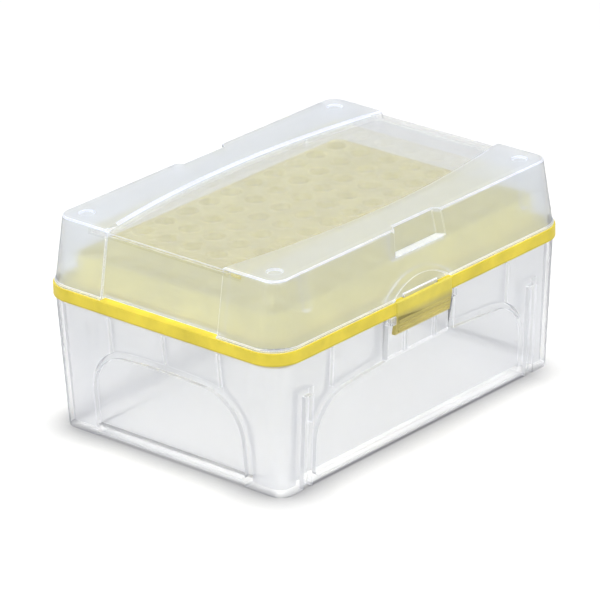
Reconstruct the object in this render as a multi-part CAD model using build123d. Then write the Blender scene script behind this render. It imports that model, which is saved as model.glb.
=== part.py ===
from build123d import *
from math import sqrt
import os

# Pipette tip box with a hinged lid. Millimetres. +X runs along the long side, +Y to the hinge,
# +Z up, and the origin is on the standing surface under the middle of the box.

# Coloured rim of the tip rack, which shows as a band between base and lid
rim_length = 122.0
rim_width = 85.0
rim_corner = 9.0
rim_z = 38.7
band_height = 3.6
band_wall = 1.2

# Base, a tapered tub on four corner feet
base_wall = 1.5
band_overhang = 0.7
foot_length = 114.0
foot_width = 79.0
foot_corner = 4.0
floor_thickness = 1.5
foot_height = 1.0
foot_start_x = 45.0
foot_start_y = 26.3
tongue_height = 1.9
tongue_clearance = 0.1

# Arched panels set into the base's walls, and the slots beside them
panel_depth = 1.7
panel_lip = 1.1
panel_bottom_round = 1.6
long_arch_half = 43.8
long_arch_apex_z = 26.2
long_arch_drop = 2.8
long_arch_corner = 13.0
short_arch_half = 26.5
short_arch_apex_z = 26.6
short_arch_drop = 1.6
short_arch_corner = 13.0
slot_centre_x = 47.1
slot_width = 3.0
slot_top_z = 27.0

# Stiffening ribs inside the base, above the arches
rib_width = 1.3
rib_depth = 1.2
rib_top_gap = 0.3
rib_overlap = 6.0
outer_rib_x = 36.9
middle_rib_x = 14.6
inner_rib_x = 6.25
stop_depth = 0.8
stop_gap = 0.8
side_rib_y = 19.5

# Tip rack: flange, locating skirt, raised deck and its holes
flange_thickness = 1.5
skirt_clearance = 0.25
skirt_wall = 1.2
skirt_drop = 1.6
deck_end_gap = 6.5
deck_side_gap = 7.0
deck_corner = 3.2
deck_top_z = 50.5
deck_draft = 0.6
deck_wall = 1.4
deck_thickness = 1.5
deck_edge_round = 0.5
tip_columns = 12
tip_rows = 8
end_hole_margin = 5.0
side_hole_margin = 4.0
tip_hole_radius = 2.8
hole_lead_in = 0.35
sleeve_wall = 0.6
sleeve_depth = 3.0
web_width = 1.0
web_depth = 4.5

# Lid, a tapered cover with two raised shoulders along its long sides
lid_wall = 1.3
lid_inset = 0.75
lid_corner = 8.2
lip_inset = 0.4
lip_height = 0.7
lid_top_z = 61.4
lid_top_length = 113.8
lid_top_width = 78.0
lid_top_corner = 4.2
lid_edge_round = 0.7
channel_depth = 1.0
channel_half_end = 19.7
channel_half_middle = 25.2
channel_slope = 1.5
end_panel_half = 20.6
end_panel_depth = 0.6
pocket_half = 8.2
pocket_flare = 0.7
pocket_floor_z = 53.9
pocket_depth = 2.1
thumb_half = 12.0
thumb_height = 4.3
thumb_depth = 0.8
dimple_x = 51.0
dimple_y = 33.2
dimple_radius = 2.1
dimple_depth = 0.6
lid_rib_x = 45.5
lid_rib_width = 2.2
lid_rib_depth = 0.8
lid_rib_bottom_z = 50.0

# Latch, a rocking clip with a ridged finger tab, on two pins in lugs of the base
latch_x = -1.6
latch_half = 11.5
latch_wall = 1.2
latch_proud = 0.15
latch_bottom_z = 32.7
latch_bend_z = 38.3
latch_lean = 1.0
latch_top_gap = 0.15
latch_pivot_z = 37.3
latch_pivot_inset = 1.5
latch_pin_radius = 0.7
latch_pin_length = 1.3
latch_hub_radius = 1.1
latch_side_gap = 0.25
pin_clearance = 0.05
ridge_count = 3
ridge_radius = 0.45
ridge_pitch = 1.35
ridge_end = 1.0
recess_half = 13.8
recess_depth = 2.2
recess_drop = 0.5
recess_rise = 1.2
lug_height = 2.4
lug_gap = 0.2
lug_wall = 0.5
catch_half = 7.0
catch_drop = 2.0
catch_wall = 0.9
catch_gap = 0.05
catch_clearance = 0.3
nose_radius = 0.3
nose_z = 41.0

# Hinge at the back: two lid knuckles, each between two ears of the base
hinge_x = 33.0
hinge_outset = 0.1
hinge_z = 40.75
knuckle_half = 4.5
knuckle_radius = 1.35
knuckle_gap = 0.25
knuckle_clearance = 0.35
knuckle_web_z = 46.5
hinge_pin_radius = 0.75
hinge_pin_length = 1.5
ear_width = 2.0
ear_root_z = 35.5

# Derived places: the deck follows the rim, and its holes stand 9 apart as on a 96-well plate
deck_length = rim_length - 2 * deck_end_gap
deck_width = rim_width - 2 * deck_side_gap
column_pitch = (deck_length - 2 * end_hole_margin) / (tip_columns - 1)
row_pitch = (deck_width - 2 * side_hole_margin) / (tip_rows - 1)
rim_top_z = rim_z + band_height
deck_under_z = deck_top_z - deck_thickness
flange_under_z = rim_top_z - flange_thickness
floor_top_z = foot_height + floor_thickness
skirt_bottom_z = rim_z - skirt_drop
base_inset = band_overhang + base_wall
recess_inset = band_overhang + recess_depth
hinge_y = rim_width / 2 + hinge_outset
latch_face_y = -rim_width / 2 - latch_proud
latch_back_y = latch_face_y + latch_wall
latch_pivot_y = latch_face_y + latch_pivot_inset
latch_top_z = rim_top_z - latch_top_gap
catch_face_y = latch_back_y + nose_radius + catch_gap
far = rim_length

# Each tapered body is two rounded rectangles: height, length, width and corner radius
base_form = (
    (0.0, foot_length, foot_width, foot_corner),
    (
        rim_z,
        rim_length - 2 * band_overhang,
        rim_width - 2 * band_overhang,
        rim_corner - band_overhang,
    ),
)
lid_form = (
    (rim_top_z, rim_length - 2 * lid_inset, rim_width - 2 * lid_inset, lid_corner),
    (lid_top_z, lid_top_length, lid_top_width, lid_top_corner),
)
deck_form = (
    (
        flange_under_z,
        deck_length + 2 * deck_draft,
        deck_width + 2 * deck_draft,
        deck_corner + deck_draft,
    ),
    (deck_top_z, deck_length, deck_width, deck_corner),
)


def form_section(form, z, inset):
    """The rounded rectangle of a tapered body at height z, shrunk on all sides by inset."""
    low_z, high_z = form[0][0], form[1][0]
    share = (z - low_z) / (high_z - low_z)
    length, width, corner = (a + share * (b - a) for a, b in zip(form[0][1:], form[1][1:]))
    outline = RectangleRounded(length - 2 * inset, width - 2 * inset, max(corner - inset, 0.8))
    return Pos(0, 0, z) * outline


def tapered(form, inset, low_z, high_z):
    """The tapered body between two heights, shrunk on all sides by inset."""
    return loft([form_section(form, low_z, inset), form_section(form, high_z, inset)], ruled=True)


def rim_prism(inset, low_z, high_z):
    """A straight block with the rim's outline, shrunk on all sides by inset."""
    outline = RectangleRounded(rim_length - 2 * inset, rim_width - 2 * inset, rim_corner - inset)
    return extrude(Pos(0, 0, low_z) * outline, high_z - low_z)


def block(x, y, z):
    """A box between the low and high limits given for each axis."""
    centre = Pos((x[0] + x[1]) / 2, (y[0] + y[1]) / 2, (z[0] + z[1]) / 2)
    return centre * Box(x[1] - x[0], y[1] - y[0], z[1] - z[0])


def rod(radius, x_low, x_high, y, z):
    """A round bar along X."""
    return extrude(Plane.YZ.offset(x_low) * Pos(y, z) * Circle(radius), x_high - x_low)


def side_profile(points, x_low, x_high):
    """A straight bar along X whose cross-section is a polygon of (y, z) points."""
    face = make_face(Polyline(*points, close=True))
    return extrude(Plane.YZ.offset(x_low) * face, x_high - x_low)


def skin(prism, form, depth):
    """What a prism takes off a tapered body when it goes in to a set depth from its walls."""
    reach = (form[1][0] - form[0][0]) / 2
    return prism - tapered(form, depth, form[0][0] - reach, form[1][0] + reach)


def arch_outline(half, apex_z, drop, corner, grow):
    """An arched panel's outline, with a slightly crowned top and rounded corners."""
    low_z = foot_height + panel_lip
    shoulder_z = apex_z - drop
    sides = Polyline((-half, shoulder_z), (-half, low_z), (half, low_z), (half, shoulder_z))
    crown = ThreePointArc((half, shoulder_z), (0, apex_z), (-half, shoulder_z))
    outline = make_face(sides + crown)
    outline = fillet(outline.vertices().group_by(Axis.Y)[-1], corner)
    outline = fillet(outline.vertices().group_by(Axis.Y)[0], panel_bottom_round)
    return offset(outline, grow) if grow else outline


def base_recesses(grow, depth):
    """All that the panels, the slots and the latch's recess take off the base's walls."""
    long_arch = arch_outline(
        long_arch_half, long_arch_apex_z, long_arch_drop, long_arch_corner, grow
    )
    short_arch = arch_outline(
        short_arch_half, short_arch_apex_z, short_arch_drop, short_arch_corner, grow
    )
    prisms = [
        extrude(Plane.XZ * long_arch, far, both=True),
        extrude(Plane.YZ * short_arch, far, both=True),
    ]
    for side in (-1, 1):
        low_x = side * slot_centre_x - slot_width / 2 - grow
        high_x = side * slot_centre_x + slot_width / 2 + grow
        prisms.append(block((low_x, high_x), (-far, far), (-foot_height, slot_top_z + grow)))
    recess = block(
        (latch_x - recess_half - grow, latch_x + recess_half + grow),
        (-far, 0),
        (long_arch_apex_z - recess_drop - grow, 2 * rim_z),
    )
    cuts = [skin(prism, base_form, depth) for prism in prisms]
    return cuts + [skin(recess, base_form, depth + recess_depth - panel_depth)]


def base_ribs():
    """The ribs on the base's inner faces, each as what it leaves out of the cavity."""
    top_z = skirt_bottom_z - rib_top_gap
    half = rib_width / 2
    ribs = []
    for x in (-outer_rib_x, outer_rib_x):
        prism = block((x - half, x + half), (-far, far), (long_arch_apex_z - rib_overlap, top_z))
        ribs.append(skin(prism, base_form, base_wall + rib_depth))
    for x in (-middle_rib_x, -inner_rib_x, inner_rib_x, middle_rib_x):
        prism = block((x - half, x + half), (0, far), (long_arch_apex_z - rib_overlap, top_z))
        ribs.append(skin(prism, base_form, base_wall + rib_depth))
    for y in (-side_rib_y, 0, side_rib_y):
        prism = block((-far, far), (y - half, y + half), (short_arch_apex_z - rib_overlap, top_z))
        ribs.append(skin(prism, base_form, base_wall + rib_depth))
    return ribs


def latch_stops():
    """Two low ribs on the floor of the latch's recess, below its tab."""
    low_z = long_arch_apex_z - recess_drop
    half = rib_width / 2
    inside = tapered(base_form, recess_depth + base_wall / 2, 0, rim_z)
    stops = []
    for x in (-inner_rib_x, inner_rib_x):
        rib = block((x - half, x + half), (-far, 0), (low_z, latch_bottom_z - stop_gap))
        stops.append((rib & tapered(base_form, recess_depth - stop_depth, 0, rim_z)) - inside)
    return stops


def foot_pads(inset, low_z, high_z):
    """Blocks over the four corner feet, with their inner sides moved outward by inset."""
    pads = []
    for side_x in (-1, 1):
        for side_y in (-1, 1):
            x = sorted((side_x * (foot_start_x + inset), side_x * far))
            y = sorted((side_y * (foot_start_y + inset), side_y * far))
            pads.append(block(x, y, (low_z, high_z)))
    return Part() + pads


def hinge_stations():
    """X of the middle of each hinge knuckle."""
    return (-hinge_x, hinge_x)


def make_base():
    """The clear tub: floor, walls, feet, tongue, latch lugs and hinge ears."""
    under = block((-far, far), (-far, far), (-foot_height, foot_height))
    outer = tapered(base_form, 0, 0, rim_z) - (under - foot_pads(0, -foot_height, foot_height))
    outer -= base_recesses(0, panel_depth)
    cavity = tapered(base_form, base_wall, floor_top_z, rim_z)
    wells = tapered(base_form, base_wall, floor_thickness, floor_top_z)
    cavity += wells & foot_pads(base_wall, 0, rim_z)
    cavity -= base_recesses(base_wall, panel_depth + base_wall)
    cavity -= base_ribs()
    tongue_inset = band_wall + tongue_clearance
    tongue_top = rim_z + tongue_height
    tongue = rim_prism(tongue_inset, rim_z, tongue_top) - rim_prism(base_inset, rim_z, tongue_top)
    tongue -= block(
        (latch_x - recess_half, latch_x + recess_half), (-far, 0), (rim_z, tongue_top)
    )
    base = outer - cavity + tongue + latch_stops()

    # The latch recess has a short wall of its own above the shoulder
    recess_y = -rim_width / 2 + recess_inset
    recess_x = recess_half + base_wall
    base += block(
        (latch_x - recess_x, latch_x + recess_x),
        (recess_y, recess_y + base_wall),
        (rim_z, rim_z + recess_rise),
    )

    # Lugs for the latch's pins, one on each side of its recess
    lug_top = rim_z - lug_gap
    lug_start = latch_half + latch_side_gap
    for side in (-1, 1):
        x = sorted((latch_x + side * lug_start, latch_x + side * recess_half))
        base += block(x, (-rim_width / 2, recess_y), (lug_top - lug_height, lug_top))
        x = sorted((latch_x + side * lug_start, latch_x + side * (recess_half - lug_wall)))
        base -= rod(latch_pin_radius + pin_clearance, *x, latch_pivot_y, latch_pivot_z)

    # Ears for the lid's hinge pins
    ear_in_y = rim_width / 2 - band_wall - 2 * tongue_clearance
    ear_start = knuckle_half + knuckle_gap
    for x in hinge_stations():
        for side in (-1, 1):
            ends = sorted((x + side * ear_start, x + side * (ear_start + ear_width)))
            base += rod(knuckle_radius, *ends, hinge_y, hinge_z)
            base += side_profile(
                [
                    (hinge_y + knuckle_radius, hinge_z),
                    (ear_in_y, hinge_z),
                    (ear_in_y, ear_root_z),
                ],
                *ends,
            )
        pin_hole = hinge_pin_radius + pin_clearance
        reach = ear_start + ear_width
        base -= rod(pin_hole, x - reach, x + reach, hinge_y, hinge_z)
        swing_y = hinge_y - knuckle_radius - knuckle_clearance
        base -= block((x - ear_start, x + ear_start), (swing_y, far), (rim_z, rim_top_z))
    return base


def make_tip_rack():
    """The coloured rack: band, flange, locating skirt and raised deck with its holes."""
    rack = rim_prism(0, rim_z, rim_top_z) - rim_prism(band_wall, rim_z, flange_under_z)
    skirt_inset = base_inset + skirt_clearance
    skirt = rim_prism(skirt_inset, skirt_bottom_z, flange_under_z)
    rack += skirt - rim_prism(skirt_inset + skirt_wall, skirt_bottom_z, flange_under_z)
    deck = tapered(deck_form, 0, flange_under_z, deck_top_z)
    rack += fillet(deck.faces().sort_by(Axis.Z)[-1].edges(), deck_edge_round)
    hollow = tapered(deck_form, deck_wall, flange_under_z, deck_under_z)
    webs = Part()
    web_z = (deck_under_z - web_depth, deck_under_z)
    half = web_width / 2
    for step in range(-2, 3):
        x = 2 * step * column_pitch
        webs += block((x - half, x + half), (-far, far), web_z)
    for step in range(-1, 2):
        y = 2 * step * row_pitch
        webs += block((-far, far), (y - half, y + half), web_z)

    # Tip holes, each with a small lead-in above and a guide sleeve below
    places = GridLocations(column_pitch, row_pitch, tip_columns, tip_rows)
    sleeve_z = deck_under_z - sleeve_depth
    sleeve_radius = tip_hole_radius + sleeve_wall
    sleeve = Pos(0, 0, sleeve_z) * extrude(Circle(sleeve_radius), sleeve_depth)
    rack -= hollow - webs - [place * sleeve for place in places]
    bore = Pos(0, 0, sleeve_z) * extrude(Circle(tip_hole_radius), deck_top_z - sleeve_z)
    lead_in = Pos(0, 0, deck_top_z - hole_lead_in / 2) * Cone(
        tip_hole_radius, tip_hole_radius + hole_lead_in, hole_lead_in
    )
    rack -= [place * (bore + lead_in) for place in places]

    # Room for the latch, for the lid's catch, and for the recessed wall behind them
    band_z = (skirt_bottom_z, rim_top_z)
    half = latch_half + latch_side_gap
    rack -= block(
        (latch_x - half, latch_x + half), (-far, -rim_width / 2 + band_wall), band_z
    )
    half = catch_half + catch_clearance
    catch_back_y = catch_face_y + catch_wall + catch_clearance
    rack -= block((latch_x - half, latch_x + half), (-far, catch_back_y), band_z)
    half = recess_half + base_wall + skirt_clearance
    skirt_back_y = -rim_width / 2 + skirt_inset + skirt_wall
    rack -= block(
        (latch_x - half, latch_x + half),
        (-rim_width / 2 + band_wall, skirt_back_y),
        (skirt_bottom_z, flange_under_z),
    )

    # Room for the hinge's ears and knuckles
    ear_reach = knuckle_half + knuckle_gap + ear_width + skirt_clearance
    swing_y = hinge_y - knuckle_radius - knuckle_clearance
    for x in hinge_stations():
        rack -= block((x - ear_reach, x + ear_reach), (swing_y, far), band_z)
    return rack


def channel(grow, low_z, high_z):
    """The shallow channel along the lid's top, widest in the middle, open to both ends."""
    sections = []
    for z in (low_z, high_z):
        spread = grow + (z - lid_top_z + channel_depth) / channel_depth * channel_slope
        middle = channel_half_middle + spread
        bow = channel_half_middle - channel_half_end
        radius = ((lid_top_length / 2) ** 2 + bow**2) / (2 * bow)
        end = middle - radius + sqrt(radius**2 - (rim_length / 2) ** 2)
        x = rim_length / 2
        outline = make_face(
            Line((-x, -end), (-x, end))
            + ThreePointArc((-x, end), (0, middle), (x, end))
            + Line((x, end), (x, -end))
            + ThreePointArc((x, -end), (0, -middle), (-x, -end))
        )
        sections.append(Pos(0, 0, z) * outline)
    return loft(sections, ruled=True)


def lid_recesses(grow, depth_grow):
    """All that the end panels, the pockets and the thumb recess take off the lid's walls."""
    reach = lid_top_z
    ends = block((-far, far), (-end_panel_half - grow, end_panel_half + grow), (0, 2 * reach))
    cuts = [skin(ends, lid_form, end_panel_depth + depth_grow)]
    face_y = lid_top_width / 2 - pocket_depth
    flare = pocket_half + pocket_flare * (far - face_y)
    for side in (-1, 1):
        plan = make_face(
            Polyline(
                (-pocket_half - grow, 0),
                (-pocket_half - grow, side * face_y),
                (-flare - grow, side * far),
                (flare + grow, side * far),
                (pocket_half + grow, side * face_y),
                (pocket_half + grow, 0),
                close=True,
            )
        )
        prism = extrude(Pos(0, 0, pocket_floor_z - grow) * plan, reach)
        cuts.append(skin(prism, lid_form, pocket_depth + depth_grow))
    radius = (thumb_half**2 + thumb_height**2) / (2 * thumb_height)
    lens = Plane.XZ * Pos(latch_x, rim_top_z + thumb_height - radius) * Circle(radius + grow)
    cuts.append(skin(extrude(lens, far), lid_form, thumb_depth + depth_grow))
    return cuts


def make_lid():
    """The clear cover: shoulders, channel, end panels, pockets, catch and hinge knuckles."""
    outer = tapered(lid_form, 0, rim_top_z, lid_top_z)
    outer = fillet(outer.faces().sort_by(Axis.Z)[-1].edges(), lid_edge_round)
    outer += rim_prism(lip_inset, rim_top_z, rim_top_z + lip_height)
    outer -= lid_recesses(0, 0)
    outer -= channel(0, lid_top_z - channel_depth, lid_top_z + channel_depth)
    for x in (-dimple_x, dimple_x):
        for y in (-dimple_y, dimple_y):
            outer -= Pos(x, y, lid_top_z) * Cylinder(dimple_radius, 2 * dimple_depth)
    cavity = tapered(lid_form, lid_wall, rim_top_z, lid_top_z - lid_wall)
    cavity -= lid_recesses(lid_wall, lid_wall)
    channel_z = lid_top_z - channel_depth - lid_wall
    cavity -= channel(2 * lid_wall, channel_z, lid_top_z)
    for x in (-lid_rib_x, lid_rib_x):
        half = lid_rib_width / 2
        prism = block((x - half, x + half), (-far, far), (lid_rib_bottom_z, lid_top_z))
        cavity -= skin(prism, lid_form, lid_wall + lid_rib_depth)
    lid = outer - cavity
    lid -= block(
        (-far, far), (-end_panel_half, end_panel_half), (rim_top_z, rim_top_z + lip_height)
    ) - block((-deck_length / 2, deck_length / 2), (-far, far), (rim_top_z, lid_top_z))

    # Catch that the latch's nose holds
    catch_back_y = catch_face_y + catch_wall
    lid += block(
        (latch_x - catch_half, latch_x + catch_half),
        (catch_face_y, catch_back_y),
        (rim_top_z - catch_drop, rim_top_z + lip_height),
    )

    # Hinge knuckles with their pins
    for x in hinge_stations():
        ends = (x - knuckle_half, x + knuckle_half)
        lid += rod(knuckle_radius, *ends, hinge_y, hinge_z)
        lid += side_profile(
            [
                (hinge_y - knuckle_radius, hinge_z),
                (hinge_y + knuckle_radius, hinge_z),
                (hinge_y + knuckle_radius, rim_top_z),
                (rim_width / 2 - lid_inset - lid_wall / 2, knuckle_web_z),
                (hinge_y - knuckle_radius, rim_top_z + lip_height),
            ],
            *ends,
        )
        pin_reach = knuckle_half + hinge_pin_length
        lid += rod(hinge_pin_radius, x - pin_reach, x + pin_reach, hinge_y, hinge_z)
    return lid


def make_latch():
    """The rocking clip: upper arm with its nose, hub and pins, and a ridged lower tab."""
    tab_face_y = latch_face_y + latch_lean
    latch = side_profile(
        [
            (latch_face_y, latch_top_z),
            (latch_face_y, latch_bend_z),
            (tab_face_y, latch_bottom_z),
            (tab_face_y + latch_wall, latch_bottom_z),
            (latch_back_y, latch_bend_z),
            (latch_back_y, latch_top_z),
        ],
        -latch_half,
        latch_half,
    )
    latch += rod(latch_hub_radius, -latch_half, latch_half, latch_pivot_y, latch_pivot_z)
    pin_reach = latch_half + latch_pin_length
    latch += rod(latch_pin_radius, -pin_reach, pin_reach, latch_pivot_y, latch_pivot_z)
    latch += rod(nose_radius, -catch_half, catch_half, latch_back_y, nose_z)
    ridge_x = latch_half - ridge_end
    for step in range(ridge_count):
        z = latch_bottom_z + ridge_end + step * ridge_pitch
        share = (latch_bend_z - z) / (latch_bend_z - latch_bottom_z)
        latch += rod(ridge_radius, -ridge_x, ridge_x, latch_face_y + share * latch_lean, z)
    return Pos(latch_x, 0, 0) * latch


os.makedirs("parts", exist_ok=True)
export_step(make_base(), "parts/base.step")
export_step(make_tip_rack(), "parts/tip_rack.step")
export_step(make_lid(), "parts/lid.step")
export_step(make_latch(), "parts/latch.step")
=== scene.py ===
"""Dresses the pipette tip box: frosted base and lid, yellow rack and latch, on a plain studio floor."""

import math

import bpy
from mathutils import Matrix, Vector


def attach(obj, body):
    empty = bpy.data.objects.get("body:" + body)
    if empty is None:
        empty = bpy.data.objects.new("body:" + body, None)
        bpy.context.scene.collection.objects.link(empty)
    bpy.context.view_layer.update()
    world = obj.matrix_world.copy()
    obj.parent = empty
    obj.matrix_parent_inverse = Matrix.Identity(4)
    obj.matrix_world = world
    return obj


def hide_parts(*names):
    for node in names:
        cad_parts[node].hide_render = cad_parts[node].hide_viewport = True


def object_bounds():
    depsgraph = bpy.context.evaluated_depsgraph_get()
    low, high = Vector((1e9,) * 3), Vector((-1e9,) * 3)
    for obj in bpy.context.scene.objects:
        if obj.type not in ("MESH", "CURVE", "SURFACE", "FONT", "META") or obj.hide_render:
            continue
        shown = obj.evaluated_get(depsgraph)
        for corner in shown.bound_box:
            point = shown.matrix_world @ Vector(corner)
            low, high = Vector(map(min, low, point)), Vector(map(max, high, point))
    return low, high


bl_info = {
    "name": "Pipette Tip Box",
    "version": (1, 0, 0),
    "blender": (4, 5, 0),
    "location": "View3D > Sidebar > Tip Box",
    "description": "Builds the finished mouldings and the stage of a hinged pipette tip box",
    "category": "Object",
}

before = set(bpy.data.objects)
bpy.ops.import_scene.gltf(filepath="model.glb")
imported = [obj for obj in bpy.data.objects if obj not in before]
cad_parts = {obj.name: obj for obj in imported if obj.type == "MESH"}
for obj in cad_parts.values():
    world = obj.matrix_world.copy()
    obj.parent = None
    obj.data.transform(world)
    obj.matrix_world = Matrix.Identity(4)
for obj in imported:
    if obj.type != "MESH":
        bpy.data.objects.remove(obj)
cad_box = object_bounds()

MM = 0.001

# Heights above the floor between which painted light and shade grow from nothing to full
FOOT_EDGES = (2 * MM, 6 * MM)
BASE_WALL = (4 * MM, 30 * MM)
LATCH_BEND = (37.5 * MM, 39.5 * MM)
BAND_BOTTOM = (38.8 * MM, 39.3 * MM)
BAND_TOP = (41.5 * MM, 42.0 * MM)
DECK_FOOT = (42.6 * MM, 43.2 * MM)
LEDGE_BOTTOM = (53.3 * MM, 53.5 * MM)
LEDGE_TOP = (54.2 * MM, 54.4 * MM)
STEP_BOTTOM = (60.7 * MM, 60.85 * MM)
STEP_TOP = (61.3 * MM, 61.36 * MM)

# The channel's floor lies between these heights, and within this distance of the middle
CHANNEL_FLOOR = (58.9 * MM, 60.6 * MM)
CHANNEL_HALF_WIDTH = 27 * MM

# Half lengths and half widths of upright blocks round the middle
HOLE_FIELD = (53 * MM, 34.5 * MM)
LID_SHOULDERS = (55.5 * MM, 37 * MM)
STEP_ENDS = (58 * MM, 37 * MM)
BASE_FOOT = (57 * MM, 39 * MM)

# Along the box, where the painted shade on the floor fades towards the far end
FAR_END = (46 * MM, 60 * MM)

# Mesh work on each moulding
MERGE_DISTANCE = 0.002 * MM
FLAT_ANGLE = math.radians(0.5)
EDGE_ANGLE = math.radians(35)
SMOOTH_ANGLE = math.radians(32)
ROUND_SEGMENTS = 2


class TipBoxShapes(bpy.types.PropertyGroup):
    """Sizes of the details that the mouldings get here."""

    tub_round: bpy.props.FloatProperty(
        name="Tub Edge Round",
        description="Radius on the edges of the base",
        default=0.22 * MM,
        min=0,
        unit="LENGTH",
    )
    lid_round: bpy.props.FloatProperty(
        name="Lid Edge Round",
        description="Radius on the edges of the lid",
        default=0.22 * MM,
        min=0,
        unit="LENGTH",
    )
    rack_round: bpy.props.FloatProperty(
        name="Rack Edge Round",
        description="Radius on the edges of the tip rack",
        default=0.2 * MM,
        min=0,
        unit="LENGTH",
    )
    latch_round: bpy.props.FloatProperty(
        name="Latch Edge Round",
        description="Radius on the edges of the latch",
        default=0.12 * MM,
        min=0,
        unit="LENGTH",
    )


class TipBoxPlastics(bpy.types.PropertyGroup):
    """Colours and finishes of the mouldings, and the painted light and shade on them."""

    base_tint: bpy.props.FloatVectorProperty(
        name="Base Tint",
        description="Colour of the frosted base",
        default=(0.87, 0.875, 0.89),
        subtype="COLOR",
    )
    # Painted shade: the base turns darker towards the top of its walls, under the rack
    base_top_painted_shade: bpy.props.FloatVectorProperty(
        name="Base Top Tint",
        description="Colour of the frosted base in the upper part of its walls",
        default=(0.77, 0.78, 0.80),
        subtype="COLOR",
    )
    lid_tint: bpy.props.FloatVectorProperty(
        name="Lid Tint",
        description="Colour of the frosted lid",
        default=(0.80, 0.83, 0.87),
        subtype="COLOR",
    )
    channel_tint: bpy.props.FloatVectorProperty(
        name="Channel Tint",
        description="Colour of the polished floor of the lid's channel",
        default=(0.70, 0.71, 0.72),
        subtype="COLOR",
    )
    # Painted shade: frosted plastic turns grey where it is seen along its wall
    grazing_shade: bpy.props.FloatVectorProperty(
        name="Wall Grey",
        description="Colour of frosted plastic where it is seen along its wall",
        default=(0.22, 0.23, 0.27),
        subtype="COLOR",
    )
    # Painted highlight on the base's moulded edges
    base_edge_highlight: bpy.props.FloatVectorProperty(
        name="Base Edge",
        description="Colour of the base's moulded edges",
        default=(0.9, 0.91, 0.94),
        subtype="COLOR",
    )
    # Painted highlight on the lid's moulded edges
    lid_edge_highlight: bpy.props.FloatVectorProperty(
        name="Lid Edge",
        description="Colour of the lid's moulded edges",
        default=(1, 1, 1),
        subtype="COLOR",
    )
    # Painted glow of the highlight on the base's moulded edges
    base_highlight_glow: bpy.props.FloatVectorProperty(
        name="Base Edge Glow",
        description="Light that the base's moulded edges gather",
        default=(0.12, 0.12, 0.13),
        subtype="COLOR",
    )
    # Painted glow of the highlight on the lid's moulded edges
    lid_highlight_glow: bpy.props.FloatVectorProperty(
        name="Lid Edge Glow",
        description="Light that the lid's moulded edges gather",
        default=(0.13, 0.16, 0.28),
        subtype="COLOR",
    )
    rack_yellow: bpy.props.FloatVectorProperty(
        name="Rack Yellow",
        description="Colour of the tip rack and its band",
        default=(0.90, 0.74, 0.07),
        subtype="COLOR",
    )
    # Painted shade on the rack below its band
    rack_painted_shade: bpy.props.FloatVectorProperty(
        name="Rack Shade",
        description="Colour of the rack below its band",
        default=(0.62, 0.5, 0.05),
        subtype="COLOR",
    )
    # Painted shade on the rack's deck where it is seen through the lid
    deck_painted_shade: bpy.props.FloatVectorProperty(
        name="Deck Under Lid",
        description="Colour of the rack's deck where it is seen through the lid",
        default=(0.50, 0.45, 0.095),
        subtype="COLOR",
    )
    # Painted light on the deck's sides where they are seen through the lid
    sides_painted_light: bpy.props.FloatVectorProperty(
        name="Deck Sides Under Lid",
        description="Colour of the deck's sides where they are seen through the lid",
        default=(0.92, 0.83, 0.19),
        subtype="COLOR",
    )
    # Painted shade in the tip holes where they are seen through the lid
    holes_painted_shade: bpy.props.FloatVectorProperty(
        name="Holes Under Lid",
        description="Colour of the tip holes' walls where they are seen through the lid",
        default=(0.64, 0.575, 0.105),
        subtype="COLOR",
    )
    latch_yellow: bpy.props.FloatVectorProperty(
        name="Latch Yellow",
        description="Colour of the latch",
        default=(0.88, 0.75, 0.11),
        subtype="COLOR",
    )
    # Painted shade on the latch's lower part, below its bend
    latch_painted_shade: bpy.props.FloatVectorProperty(
        name="Latch Shade",
        description="Colour of the latch's lower part",
        default=(0.62, 0.53, 0.17),
        subtype="COLOR",
    )
    base_milk: bpy.props.FloatProperty(
        name="Base Milkiness",
        description="Share of the base's plastic that isn't plainly see-through",
        default=0.72,
        min=0,
        max=1,
        subtype="FACTOR",
    )
    lid_milk: bpy.props.FloatProperty(
        name="Lid Milkiness",
        description="Share of the lid's plastic that isn't plainly see-through",
        default=0.6,
        min=0,
        max=1,
        subtype="FACTOR",
    )
    # Painted glow of the base's walls, standing in for light scattered within them
    base_painted_glow: bpy.props.FloatProperty(
        name="Base Glow",
        description="Light that the base's walls scatter within themselves",
        default=0.07,
        min=0,
        max=1,
        subtype="FACTOR",
    )
    # Painted glow of the lid's walls, standing in for light scattered within them
    lid_painted_glow: bpy.props.FloatProperty(
        name="Lid Glow",
        description="Light that the lid's walls scatter within themselves",
        default=0.03,
        min=0,
        max=1,
        subtype="FACTOR",
    )
    frost: bpy.props.FloatProperty(
        name="Frost",
        description="Roughness of the frosted plastic",
        default=0.35,
        min=0,
        max=1,
        subtype="FACTOR",
    )


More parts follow.
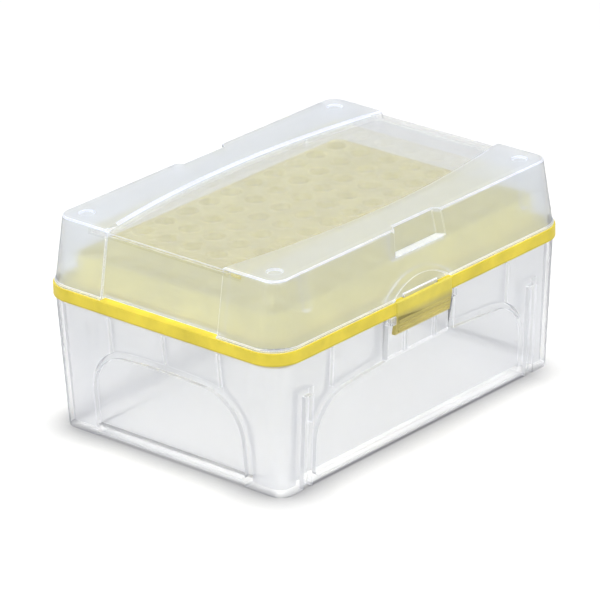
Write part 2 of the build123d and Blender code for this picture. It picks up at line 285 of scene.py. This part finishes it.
class TipBoxStage(bpy.types.PropertyGroup):
    """Where the camera stands and how strong the light is."""

    camera_turn: bpy.props.FloatProperty(
        name="Camera Turn",
        description="Angle of the camera round the box, from the latch side",
        default=math.radians(-48.78),
        subtype="ANGLE",
    )
    camera_rise: bpy.props.FloatProperty(
        name="Camera Rise",
        description="Angle of the camera above the floor",
        default=math.radians(22.9),
        subtype="ANGLE",
    )
    camera_roll: bpy.props.FloatProperty(
        name="Camera Roll",
        description="Tilt of the camera about its line of sight",
        default=math.radians(-1.22),
        subtype="ANGLE",
    )
    camera_reach: bpy.props.FloatProperty(
        name="Camera Reach",
        description="Distance from the camera to the box",
        default=1.2408,
        min=0.2,
        unit="LENGTH",
    )
    camera_height: bpy.props.FloatProperty(
        name="Camera Target Height",
        description="Height above the floor of the point that the camera looks towards",
        default=35 * MM,
        unit="LENGTH",
    )
    camera_shift: bpy.props.FloatProperty(
        name="Camera Shift",
        description="How far the camera is moved to its left",
        default=2.126 * MM,
        unit="LENGTH",
    )
    camera_drop: bpy.props.FloatProperty(
        name="Camera Drop",
        description="How far the camera is moved down",
        default=6.708 * MM,
        unit="LENGTH",
    )
    lens: bpy.props.FloatProperty(
        name="Lens",
        description="Focal length of the camera in millimetres",
        default=273.3,
        min=20,
        unit="CAMERA",
    )
    sky: bpy.props.FloatProperty(
        name="Sky",
        description="Strength of the soft light from all round",
        default=0.45,
        min=0,
    )
    fill_watts: bpy.props.FloatProperty(
        name="Fill Light",
        description="Power of the lamp in front of the box",
        default=1.6,
        min=0,
        unit="POWER",
    )
    key_watts: bpy.props.FloatProperty(
        name="Key Light",
        description="Power of the lamp above the box",
        default=8.5,
        min=0,
        unit="POWER",
    )


def add_node(tree, kind, inputs=None, **settings):
    """A shader node with its settings made, and its inputs set or linked by name."""
    made = tree.nodes.new(kind)
    for key, value in settings.items():
        setattr(made, key, value)
    for key, value in (inputs or {}).items():
        if isinstance(value, bpy.types.NodeSocket):
            tree.links.new(value, made.inputs[key])
        else:
            made.inputs[key].default_value = value
    return made


def calculate(tree, operation, *values):
    """The output of a Math node over numbers or sockets."""
    made = tree.nodes.new("ShaderNodeMath")
    made.operation = operation
    for place, value in enumerate(values):
        if isinstance(value, bpy.types.NodeSocket):
            tree.links.new(value, made.inputs[place])
        else:
            made.inputs[place].default_value = value
    return made.outputs[0]


def start_group(name, inputs, outputs):
    """A shader node group with named inputs and outputs, and its two end nodes."""
    tree = bpy.data.node_groups.new(name, "ShaderNodeTree")
    for label, kind, value in inputs:
        socket = tree.interface.new_socket(label, in_out="INPUT", socket_type=kind)
        socket.default_value = value
    for label, kind in outputs:
        tree.interface.new_socket(label, in_out="OUTPUT", socket_type=kind)
    return tree, tree.nodes.new("NodeGroupInput"), tree.nodes.new("NodeGroupOutput")


def multiply(tree, *values):
    """The product of two or more numbers or sockets."""
    product = values[0]
    for value in values[1:]:
        product = calculate(tree, "MULTIPLY", product, value)
    return product


def clamped(tree, value):
    """A value kept between nothing and one."""
    return calculate(tree, "MAXIMUM", calculate(tree, "MINIMUM", value, 1.0), 0.0)


def mix_colour(tree, share, first, second):
    """A colour between two others, each a socket or plain red, green and blue."""
    mixed = {"Fac": share}
    for key, colour in (("Color1", first), ("Color2", second)):
        mixed[key] = colour if isinstance(colour, bpy.types.NodeSocket) else (*colour, 1)
    return add_node(tree, "ShaderNodeMixRGB", mixed).outputs[0]


def split(tree, vector):
    """The three parts of a vector."""
    parts = tree.nodes.new("ShaderNodeSeparateXYZ")
    tree.links.new(vector, parts.inputs[0])
    return parts.outputs


def own_place(tree):
    """Where a point lies in its own piece."""
    return tree.nodes.new("ShaderNodeTexCoord").outputs["Object"]


def beyond(tree, half_length, half_width):
    """How far out of an upright block round the piece's middle a place lies."""
    place = split(tree, own_place(tree))
    out_x = calculate(tree, "SUBTRACT", calculate(tree, "ABSOLUTE", place["X"]), half_length)
    out_y = calculate(tree, "SUBTRACT", calculate(tree, "ABSOLUTE", place["Y"]), half_width)
    return calculate(tree, "MAXIMUM", out_x, out_y)


def rising_share(tree, low, high, axis="Z"):
    """Nothing up to one place along an axis of the piece, one from another on."""
    share = calculate(tree, "SUBTRACT", split(tree, own_place(tree))[axis], low)
    return clamped(tree, calculate(tree, "DIVIDE", share, high - low))


def facing_up(tree):
    """One on what lies level and faces up, nothing on upright walls."""
    normal = split(tree, tree.nodes.new("ShaderNodeNewGeometry").outputs["Normal"])
    return calculate(tree, "MAXIMUM", normal["Z"], 0.0)


def rounded_rim(tree):
    """Most of one on the rounded rim round the lid's top, where a highlight is painted, fading towards
    level and upright.
    """
    middle_lean, narrowness, gain, most = 0.6, 2.45, 1.7, 0.9
    normal = split(tree, tree.nodes.new("ShaderNodeNewGeometry").outputs["Normal"])
    lean = calculate(tree, "ABSOLUTE", normal["Z"])
    off_middle = calculate(tree, "ABSOLUTE", calculate(tree, "SUBTRACT", lean, middle_lean))
    near_middle = calculate(tree, "SUBTRACT", 1.0, multiply(tree, off_middle, narrowness))
    rounded = clamped(tree, multiply(tree, near_middle, gain))
    at_rim = calculate(tree, "GREATER_THAN", beyond(tree, *LID_SHOULDERS), 0.0)
    return multiply(tree, rounded, at_rim, most)


def edge_group():
    """Marks the moulded edges, where a highlight is painted: one on an edge, nothing on the flat."""
    tree, given, made = start_group(
        "moulded_edges",
        [
            ("Radius", "NodeSocketFloat", 0.45 * MM),
            ("Strength", "NodeSocketFloat", 1.0),
            ("Rounded", "NodeSocketFloat", 0.0),
        ],
        [("Edge", "NodeSocketFloat")],
    )
    gain = 16.0
    bevel = add_node(tree, "ShaderNodeBevel", {"Radius": given.outputs["Radius"]}, samples=6)
    shape = tree.nodes.new("ShaderNodeNewGeometry")
    match = add_node(tree, "ShaderNodeVectorMath", operation="DOT_PRODUCT")
    tree.links.new(bevel.outputs[0], match.inputs[0])
    tree.links.new(shape.outputs["Normal"], match.inputs[1])
    alike = calculate(tree, "ABSOLUTE", match.outputs["Value"])
    turn = calculate(tree, "SUBTRACT", 1.0, alike)
    sharp = multiply(tree, turn, gain, given.outputs["Strength"])
    rounded = multiply(tree, rounded_rim(tree), given.outputs["Rounded"])
    both = calculate(tree, "MAXIMUM", sharp, rounded)
    tree.links.new(calculate(tree, "MINIMUM", both, 1.0), made.inputs["Edge"])
    return tree


def frost_group():
    """Fine frosted grain and slow cloudy flow marks."""
    tree, given, made = start_group(
        "frost_grain",
        [
            ("Grain Scale", "NodeSocketFloat", 2600.0),
            ("Cloud Scale", "NodeSocketFloat", 55.0),
            ("Cloud Strength", "NodeSocketFloat", 0.08),
        ],
        [("Grain", "NodeSocketFloat"), ("Cloud", "NodeSocketFloat")],
    )
    place = own_place(tree)
    grain = add_node(
        tree,
        "ShaderNodeTexNoise",
        {"Vector": place, "Scale": given.outputs["Grain Scale"], "Detail": 2.0},
    )
    cloud = add_node(
        tree,
        "ShaderNodeTexNoise",
        {"Vector": place, "Scale": given.outputs["Cloud Scale"], "Detail": 3.0},
    )
    centred = calculate(tree, "SUBTRACT", cloud.outputs[0], 0.5)
    swing = multiply(tree, centred, given.outputs["Cloud Strength"])
    tree.links.new(grain.outputs[0], made.inputs["Grain"])
    tree.links.new(swing, made.inputs["Cloud"])
    return tree


def shared_group(name, build):
    """A node group by name, built the first time it is asked for."""
    return bpy.data.node_groups.get(name) or build()


def place_group(tree, name, build, **values):
    """A shared node group placed in a material with its own values."""
    made = tree.nodes.new("ShaderNodeGroup")
    made.node_tree = shared_group(name, build)
    for key, value in values.items():
        made.inputs[key.replace("_", " ")].default_value = value
    return made.outputs


def clear_window(tree):
    """One on the polished floor of the lid's channel, nothing elsewhere."""
    place = split(tree, own_place(tree))
    above = calculate(tree, "GREATER_THAN", place["Z"], CHANNEL_FLOOR[0])
    below = calculate(tree, "LESS_THAN", place["Z"], CHANNEL_FLOOR[1])
    side = calculate(tree, "ABSOLUTE", place["Y"])
    inside = calculate(tree, "LESS_THAN", side, CHANNEL_HALF_WIDTH)
    return multiply(tree, above, below, inside)


def pocket_ledge(tree):
    """Part of one on the ledges of the lid's finger pockets, where a highlight is painted, nothing
    elsewhere.
    """
    most, level_from = 0.6, 0.8
    above = rising_share(tree, *LEDGE_BOTTOM)
    band = calculate(tree, "SUBTRACT", above, rising_share(tree, *LEDGE_TOP))
    level = calculate(tree, "GREATER_THAN", facing_up(tree), level_from)
    return multiply(tree, band, level, most)


def channel_step(tree):
    """Most of one along the upper part of the channel's sloping sides, where a highlight is painted,
    nothing elsewhere.
    """
    most, level_from = 0.75, 0.93
    above = rising_share(tree, *STEP_BOTTOM)
    band = calculate(tree, "SUBTRACT", above, rising_share(tree, *STEP_TOP))
    within = calculate(tree, "LESS_THAN", beyond(tree, *STEP_ENDS), 0.0)
    sloping = calculate(tree, "LESS_THAN", facing_up(tree), level_from)
    return multiply(tree, band, within, sloping, most)


def base_highlight(tree, edge):
    """Where a highlight is painted on the base: on its moulded edges, and less so near the floor."""
    at_floor = 0.2
    gained = multiply(tree, rising_share(tree, *FOOT_EDGES), 1 - at_floor)
    return multiply(tree, edge, calculate(tree, "ADD", at_floor, gained))


def lid_highlight(tree, edge):
    """Where a highlight is painted on the lid: on its moulded edges, pocket ledges and channel sides.
    """
    white = calculate(tree, "MAXIMUM", edge, pocket_ledge(tree))
    return calculate(tree, "MAXIMUM", white, channel_step(tree))


def start_material(name):
    """An empty node material and its tree."""
    material = bpy.data.materials.new(name)
    material.use_nodes = True
    material.node_tree.nodes.clear()
    return material, material.node_tree


def fine_bump(tree, grain, strength):
    """The grain's fine relief, as a normal."""
    made = add_node(
        tree,
        "ShaderNodeBump",
        {"Strength": strength, "Distance": 0.02 * MM, "Height": grain["Grain"]},
    )
    return made.outputs[0]


def let_light_through(tree, surface, share):
    """Lets part of the lamps' light straight through a thin wall."""
    path = tree.nodes.new("ShaderNodeLightPath")
    passed = multiply(tree, path.outputs["Is Shadow Ray"], share)
    clear = tree.nodes.new("ShaderNodeBsdfTransparent")
    mix = add_node(tree, "ShaderNodeMixShader", {"Fac": passed})
    tree.links.new(surface, mix.inputs[1])
    tree.links.new(clear.outputs[0], mix.inputs[2])
    out = tree.nodes.new("ShaderNodeOutputMaterial")
    tree.links.new(mix.outputs[0], out.inputs[0])


def along_wall(tree):
    """One where a wall is seen along its length, nothing where it is seen face on; there the plastic
    gets painted shade and more haze.
    """
    start = 0.55
    facing = add_node(tree, "ShaderNodeLayerWeight", {"Blend": 0.5}).outputs["Facing"]
    past = calculate(tree, "SUBTRACT", facing, start)
    return calculate(tree, "MAXIMUM", calculate(tree, "DIVIDE", past, 1 - start), 0.0)


def frosted_plastic(
    name,
    tint,
    grazing_shade,
    highlight_tint,
    highlight_glow,
    edges,
    highlight_places,
    milk,
    outer_share,
    painted_glow,
    frost,
    through,
    bend,
    top_painted_shade=None,
    channel_tint=None,
):
    """Frosted translucent plastic with a painted highlight on its edges, painted shade where it is seen
    along its wall, and a painted glow.
    """
    along_milk, edge_milk, polished_loss, polished_rough = 0.8, 0.8, 0.28, 0.08
    material, tree = start_material(name)
    grain = place_group(tree, "frost_grain", frost_group)
    marked = place_group(tree, "moulded_edges", edge_group, **edges)
    # white: where a highlight is painted, which also makes the plastic more opaque there
    white = highlight_places(tree, marked["Edge"])
    along = along_wall(tree)
    inner = tree.nodes.new("ShaderNodeNewGeometry").outputs["Backfacing"]
    depth = calculate(tree, "ADD", outer_share, multiply(tree, inner, 1 - outer_share))
    milky = multiply(tree, calculate(tree, "ADD", milk, grain["Cloud"]), depth)
    milky = calculate(tree, "ADD", milky, multiply(tree, along, along_milk))
    haze, roughness = tint, frost
    # Painted shade: the base's haze darkens towards the top of its walls, under the rack
    if top_painted_shade:
        haze = mix_colour(tree, rising_share(tree, *BASE_WALL), tint, top_painted_shade)
    if channel_tint:
        polished = clear_window(tree)
        milky = calculate(tree, "SUBTRACT", milky, multiply(tree, polished, polished_loss))
        smoother = multiply(tree, polished, frost - polished_rough)
        roughness = calculate(tree, "SUBTRACT", frost, smoother)
        haze = mix_colour(tree, polished, haze, channel_tint)
    opaque = calculate(tree, "ADD", milky, multiply(tree, white, edge_milk))
    # Painted shade where the wall is seen along its length
    shaded_along = mix_colour(tree, along, haze, grazing_shade)
    # Painted glow of the walls in cool white, and the painted highlight's glow on the edges
    cool_light = (0.92, 0.96, 1.08)
    painted_wall_glow = [part * painted_glow for part in cool_light]
    shader = add_node(
        tree,
        "ShaderNodeBsdfPrincipled",
        {
            "Base Color": mix_colour(tree, white, shaded_along, highlight_tint),
            "Roughness": roughness,
            "Transmission Weight": through,
            "IOR": bend,
            "Alpha": calculate(tree, "MINIMUM", opaque, 1.0),
            "Normal": fine_bump(tree, grain, strength=0.25),
            "Emission Color": mix_colour(tree, white, painted_wall_glow, highlight_glow),
            "Emission Strength": 1.0,
        },
    )
    let_light_through(tree, shader.outputs[0], share=0.95)
    return material


def through_lid(tree):
    """One on what is seen through frosted plastic, nothing on what is seen directly."""
    path = tree.nodes.new("ShaderNodeLightPath")
    passed = calculate(tree, "MINIMUM", path.outputs["Transparent Depth"], 1.0)
    return calculate(tree, "MAXIMUM", passed, path.outputs["Is Transmission Ray"])


def painted_light_under_lid(tree, body, plastics):
    """The rack's colour where it is seen through the lid, with painted shade on its deck and in its
    holes and painted light on its sides, and a mask of those sides for their painted glow.
    """
    covered = through_lid(tree)
    raised = multiply(tree, rising_share(tree, *DECK_FOOT), covered)
    within = calculate(tree, "LESS_THAN", beyond(tree, *HOLE_FIELD), 0.0)
    above_band = multiply(tree, rising_share(tree, *BAND_TOP), covered)
    level = multiply(tree, above_band, facing_up(tree))
    body = mix_colour(tree, raised, body, plastics.sides_painted_light)
    body = mix_colour(tree, multiply(tree, raised, within), body, plastics.holes_painted_shade)
    body = mix_colour(tree, level, body, plastics.deck_painted_shade)
    return body, multiply(tree, raised, calculate(tree, "SUBTRACT", 1.0, level))


def paler_in_bounces(tree, colour):
    """A colour that turns grey in bounced light, so that it tints its neighbours little."""
    after_bounce, through_wall, grey = 0.85, 0.12, (0.9, 0.9, 0.9)
    path = tree.nodes.new("ShaderNodeLightPath")
    bounced = multiply(tree, path.outputs["Is Diffuse Ray"], after_bounce)
    passed = multiply(tree, path.outputs["Is Transmission Ray"], through_wall)
    return mix_colour(tree, calculate(tree, "ADD", bounced, passed), colour, grey)


def coloured_plastic(name, colour, low_painted_shade, heights, under_lid=None):
    """Satin coloured plastic that lets some light through and tints its neighbours little, with a
    painted glow, painted shade on its lower part, and for the rack painted light and shade where it is
    seen through the lid.
    """
    painted_glow, painted_side_glow, thin = 0.05, 0.08, 0.3
    material, tree = start_material(name)
    grain = place_group(
        tree, "frost_grain", frost_group, Cloud_Scale=120.0, Cloud_Strength=0.55
    )
    # Painted shade on the lower part, below the given heights
    body = mix_colour(tree, rising_share(tree, *heights), low_painted_shade, colour)
    painted_glow_share = painted_glow
    if under_lid:
        body, sides = painted_light_under_lid(tree, body, under_lid)
        painted_glow_share = calculate(tree, "ADD", painted_glow, multiply(tree, sides, painted_side_glow))
    clouded = calculate(tree, "ADD", 1.0, grain["Cloud"])
    tone = add_node(tree, "ShaderNodeHueSaturation", {"Color": body, "Value": clouded})
    paler = paler_in_bounces(tree, tone.outputs[0])
    shader = add_node(
        tree,
        "ShaderNodeBsdfPrincipled",
        {
            "Base Color": paler,
            "Roughness": 0.42,
            "Normal": fine_bump(tree, grain, strength=0.2),
            "Emission Color": paler,
            "Emission Strength": painted_glow_share,
        },
    )
    across = add_node(tree, "ShaderNodeBsdfTranslucent", {"Color": paler})
    mix = add_node(tree, "ShaderNodeMixShader", {"Fac": thin})
    tree.links.new(shader.outputs[0], mix.inputs[1])
    tree.links.new(across.outputs[0], mix.inputs[2])
    let_light_through(tree, mix.outputs[0], share=0.97)
    return material


def moulding(node, name, body, round_size, material):
    """A merged copy of a CAD solid with its edges rounded, which stands for that solid."""
    bpy.ops.object.select_all(action="DESELECT")
    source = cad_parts[node]
    piece = bpy.data.objects.new(name, source.data.copy())
    piece.data.name = name
    bpy.context.scene.collection.objects.link(piece)
    piece.select_set(True)
    bpy.context.view_layer.objects.active = piece
    bpy.ops.mesh.customdata_custom_splitnormals_clear()
    bpy.ops.object.mode_set(mode="EDIT")
    bpy.ops.mesh.select_mode(type="VERT")
    bpy.ops.mesh.select_all(action="SELECT")
    bpy.ops.mesh.remove_doubles(threshold=MERGE_DISTANCE)
    bpy.ops.mesh.dissolve_limited(angle_limit=FLAT_ANGLE)
    bpy.ops.object.mode_set(mode="OBJECT")
    bevel = piece.modifiers.new("edges", "BEVEL")
    bevel.limit_method = "ANGLE"
    bevel.angle_limit = EDGE_ANGLE
    bevel.width = round_size
    bevel.segments = ROUND_SEGMENTS
    bevel.use_clamp_overlap = False
    bevel.miter_outer = "MITER_SHARP"
    bpy.ops.object.modifier_apply(modifier=bevel.name)
    # The rounding may lift a corner a hair, so nothing is left above the top of the box
    for vertex in piece.data.vertices:
        vertex.co.z = min(vertex.co.z, cad_box[1][2])
    bpy.ops.object.shade_smooth_by_angle(angle=SMOOTH_ANGLE)
    even = piece.modifiers.new("even", "WEIGHTED_NORMAL")
    even.weight = 100
    even.keep_sharp = True
    bpy.ops.object.modifier_apply(modifier=even.name)
    piece.data.materials.clear()
    piece.data.materials.append(material)
    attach(piece, body)
    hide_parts(node)
    return piece


class TipBoxBase(bpy.types.Operator):
    """Makes the frosted base"""

    bl_idname = "tip_box.base"
    bl_label = "Base"

    def execute(self, context):
        shapes = context.scene.tip_box_shapes
        plastics = context.scene.tip_box_plastics
        material = frosted_plastic(
            "frosted_base",
            tint=plastics.base_tint,
            top_painted_shade=plastics.base_top_painted_shade,
            grazing_shade=plastics.grazing_shade,
            highlight_tint=plastics.base_edge_highlight,
            highlight_glow=plastics.base_highlight_glow,
            edges={"Strength": 0.8},
            highlight_places=base_highlight,
            milk=plastics.base_milk,
            outer_share=0.25,
            painted_glow=plastics.base_painted_glow,
            frost=plastics.frost,
            through=0.45,
            bend=1.1,
        )
        moulding("base", "tub", "box", shapes.tub_round, material)
        return {"FINISHED"}


class TipBoxRack(bpy.types.Operator):
    """Makes the yellow tip rack"""

    bl_idname = "tip_box.rack"
    bl_label = "Tip Rack"

    def execute(self, context):
        shapes = context.scene.tip_box_shapes
        plastics = context.scene.tip_box_plastics
        material = coloured_plastic(
            "rack_plastic",
            plastics.rack_yellow,
            plastics.rack_painted_shade,
            BAND_BOTTOM,
            under_lid=plastics,
        )
        moulding("tip_rack", "rack", "box", shapes.rack_round, material)
        return {"FINISHED"}


class TipBoxLid(bpy.types.Operator):
    """Makes the frosted lid"""

    bl_idname = "tip_box.lid"
    bl_label = "Lid"

    def execute(self, context):
        shapes = context.scene.tip_box_shapes
        plastics = context.scene.tip_box_plastics
        material = frosted_plastic(
            "frosted_lid",
            tint=plastics.lid_tint,
            channel_tint=plastics.channel_tint,
            grazing_shade=plastics.grazing_shade,
            highlight_tint=plastics.lid_edge_highlight,
            highlight_glow=plastics.lid_highlight_glow,
            edges={"Rounded": 1.0},
            highlight_places=lid_highlight,
            milk=plastics.lid_milk,
            outer_share=1.0,
            painted_glow=plastics.lid_painted_glow,
            frost=plastics.frost,
            through=0.6,
            bend=1.2,
        )
        moulding("lid", "cover", "cover", shapes.lid_round, material)
        return {"FINISHED"}


class TipBoxLatch(bpy.types.Operator):
    """Makes the yellow latch"""

    bl_idname = "tip_box.latch"
    bl_label = "Latch"

    def execute(self, context):
        shapes = context.scene.tip_box_shapes
        plastics = context.scene.tip_box_plastics
        material = coloured_plastic(
            "latch_plastic", plastics.latch_yellow, plastics.latch_painted_shade, LATCH_BEND
        )
        moulding("latch", "clip", "clip", shapes.latch_round, material)
        return {"FINISHED"}


def seen_straight(tree):
    """One for what the camera sees, also in gloss and through clear plastic."""
    path = tree.nodes.new("ShaderNodeLightPath")
    total = path.outputs["Is Camera Ray"]
    for kind in ("Is Glossy Ray", "Is Transmission Ray"):
        total = calculate(tree, "MAXIMUM", total, path.outputs[kind])
    return total


class TipBoxStageSetting(bpy.types.Operator):
    """Sets the floor, the light and the camera"""

    bl_idname = "tip_box.stage"
    bl_label = "Stage"

    def execute(self, context):
        scene = context.scene
        stage = scene.tip_box_stage
        scene.view_settings.view_transform = "Standard"
        self.make_floor()
        self.make_world(scene, stage)
        self.make_lamps(stage)
        self.make_camera(scene, stage)
        return {"FINISHED"}

    def make_floor(self):
        """A plain white floor with a painted shadow where the box stands close above it."""
        bpy.ops.object.select_all(action="DESELECT")
        bpy.ops.mesh.primitive_plane_add(size=12, location=(0, 0, 0))
        floor = bpy.context.object
        floor.name = "floor"
        material, tree = start_material("studio_floor")
        open_air = self.painted_contact_shadow(tree)
        brightness = 0.15
        lift = multiply(tree, seen_straight(tree), open_air, brightness)
        # The painted shadow's colour, and the floor's own white
        shaded, white = (0.10, 0.10, 0.12), (0.92, 0.92, 0.92)
        shade = mix_colour(tree, open_air, shaded, white)
        shader = add_node(
            tree,
            "ShaderNodeBsdfPrincipled",
            {
                "Base Color": shade,
                "Roughness": 0.9,
                "Specular IOR Level": 0.0,
                "Emission Color": (1, 1, 1, 1),
                "Emission Strength": lift,
            },
        )
        out = tree.nodes.new("ShaderNodeOutputMaterial")
        tree.links.new(shader.outputs[0], out.inputs[0])
        floor.data.materials.append(material)

    def painted_contact_shadow(self, tree):
        """Painted shadow: less than one on the floor just outside the box's foot, where the box is
        close above.
        """
        fade, gain, far_loss = 3 * MM, 1.2, 0.85
        near = add_node(tree, "ShaderNodeAmbientOcclusion", {"Distance": 12 * MM}, samples=8)
        covered = calculate(tree, "SUBTRACT", 1.0, near.outputs["AO"])
        covered = calculate(tree, "MINIMUM", multiply(tree, covered, gain), 1.0)
        outside = calculate(tree, "ADD", beyond(tree, *BASE_FOOT), fade)
        outside = clamped(tree, calculate(tree, "DIVIDE", outside, fade))
        lost = multiply(tree, rising_share(tree, *FAR_END, "X"), far_loss)
        kept = calculate(tree, "SUBTRACT", 1.0, lost)
        return calculate(tree, "SUBTRACT", 1.0, multiply(tree, covered, outside, kept))

    def make_world(self, scene, stage):
        """Soft light from all round, and a white surround for what the camera sees."""
        world = bpy.data.worlds.new("studio")
        scene.world = world
        world.use_nodes = True
        tree = world.node_tree
        tree.nodes.clear()
        light = add_node(
            tree, "ShaderNodeBackground", {"Color": (1, 1, 1, 1), "Strength": stage.sky}
        )
        seen = add_node(tree, "ShaderNodeBackground", {"Color": (1, 1, 1, 1), "Strength": 1.0})
        mix = add_node(tree, "ShaderNodeMixShader", {"Fac": seen_straight(tree)})
        tree.links.new(light.outputs[0], mix.inputs[1])
        tree.links.new(seen.outputs[0], mix.inputs[2])
        out = tree.nodes.new("ShaderNodeOutputWorld")
        tree.links.new(mix.outputs[0], out.inputs[0])

    def make_lamps(self, stage):
        """A lamp overhead, and a large one in front that throws no shadow."""
        self.make_lamp("key_light", (-0.05, 0.12, 1.2), size=0.45, watts=stage.key_watts)
        fill = self.make_lamp("fill_light", (-0.95, -0.85, 0.5), size=1.0, watts=stage.fill_watts)
        fill.data.use_shadow = False

    def make_lamp(self, name, place, size, watts):
        """A square lamp that is aimed at the middle of the box."""
        middle = Vector((0, 0, 30 * MM))
        bpy.ops.object.light_add(type="AREA", location=place)
        lamp = bpy.context.object
        lamp.name = name
        lamp.data.size = size
        lamp.data.energy = watts
        aim = middle - lamp.location
        lamp.rotation_euler = aim.to_track_quat("-Z", "Y").to_euler()
        return lamp

    def make_camera(self, scene, stage):
        """A camera at the stage's turn, rise, roll and reach."""
        turn, rise, roll = stage.camera_turn, stage.camera_rise, stage.camera_roll
        back = Vector(
            (
                math.sin(turn) * math.cos(rise),
                -math.cos(turn) * math.cos(rise),
                math.sin(rise),
            )
        )
        level = Vector((math.cos(turn), math.sin(turn), 0))
        upright = back.cross(level)
        right = level * math.cos(roll) + upright * math.sin(roll)
        up = upright * math.cos(roll) - level * math.sin(roll)
        target = Vector((0, 0, stage.camera_height))
        target -= right * stage.camera_shift + up * stage.camera_drop
        place = target + back * stage.camera_reach
        camera = bpy.data.objects.new("camera", bpy.data.cameras.new("camera"))
        scene.collection.objects.link(camera)
        camera.data.lens = stage.lens
        camera.data.sensor_width = 36
        camera.data.clip_end = 50
        rows = [(right[i], up[i], back[i], place[i]) for i in range(3)]
        camera.matrix_world = Matrix((*rows, (0, 0, 0, 1)))
        scene.camera = camera


class TipBoxPanel(bpy.types.Panel):
    """Lists the pieces of the tip box and their sizes and colours"""

    bl_idname = "VIEW3D_PT_tip_box"
    bl_label = "Pipette Tip Box"
    bl_space_type = "VIEW_3D"
    bl_region_type = "UI"
    bl_category = "Tip Box"

    def draw(self, context):
        layout = self.layout
        for group in ("tip_box_shapes", "tip_box_plastics", "tip_box_stage"):
            holder = getattr(context.scene, group)
            box = layout.box()
            for key in holder.bl_rna.properties.keys():
                if key not in ("rna_type", "name"):
                    box.prop(holder, key)
        for operator in OPERATORS:
            layout.operator(operator.bl_idname)


OPERATORS = (TipBoxBase, TipBoxRack, TipBoxLid, TipBoxLatch, TipBoxStageSetting)
GROUPS = {
    "tip_box_shapes": TipBoxShapes,
    "tip_box_plastics": TipBoxPlastics,
    "tip_box_stage": TipBoxStage,
}


def register():
    for group in GROUPS.values():
        bpy.utils.register_class(group)
    for operator in OPERATORS:
        bpy.utils.register_class(operator)
    bpy.utils.register_class(TipBoxPanel)
    for name, group in GROUPS.items():
        setattr(bpy.types.Scene, name, bpy.props.PointerProperty(type=group))


def unregister():
    for name in GROUPS:
        delattr(bpy.types.Scene, name)
    bpy.utils.unregister_class(TipBoxPanel)
    for operator in OPERATORS:
        bpy.utils.unregister_class(operator)
    for group in GROUPS.values():
        bpy.utils.unregister_class(group)


def main():
    """Builds every piece and the stage."""
    register()
    bpy.ops.tip_box.base()
    bpy.ops.tip_box.rack()
    bpy.ops.tip_box.lid()
    bpy.ops.tip_box.latch()
    bpy.ops.tip_box.stage()


if __name__ == "__main__":
    main()
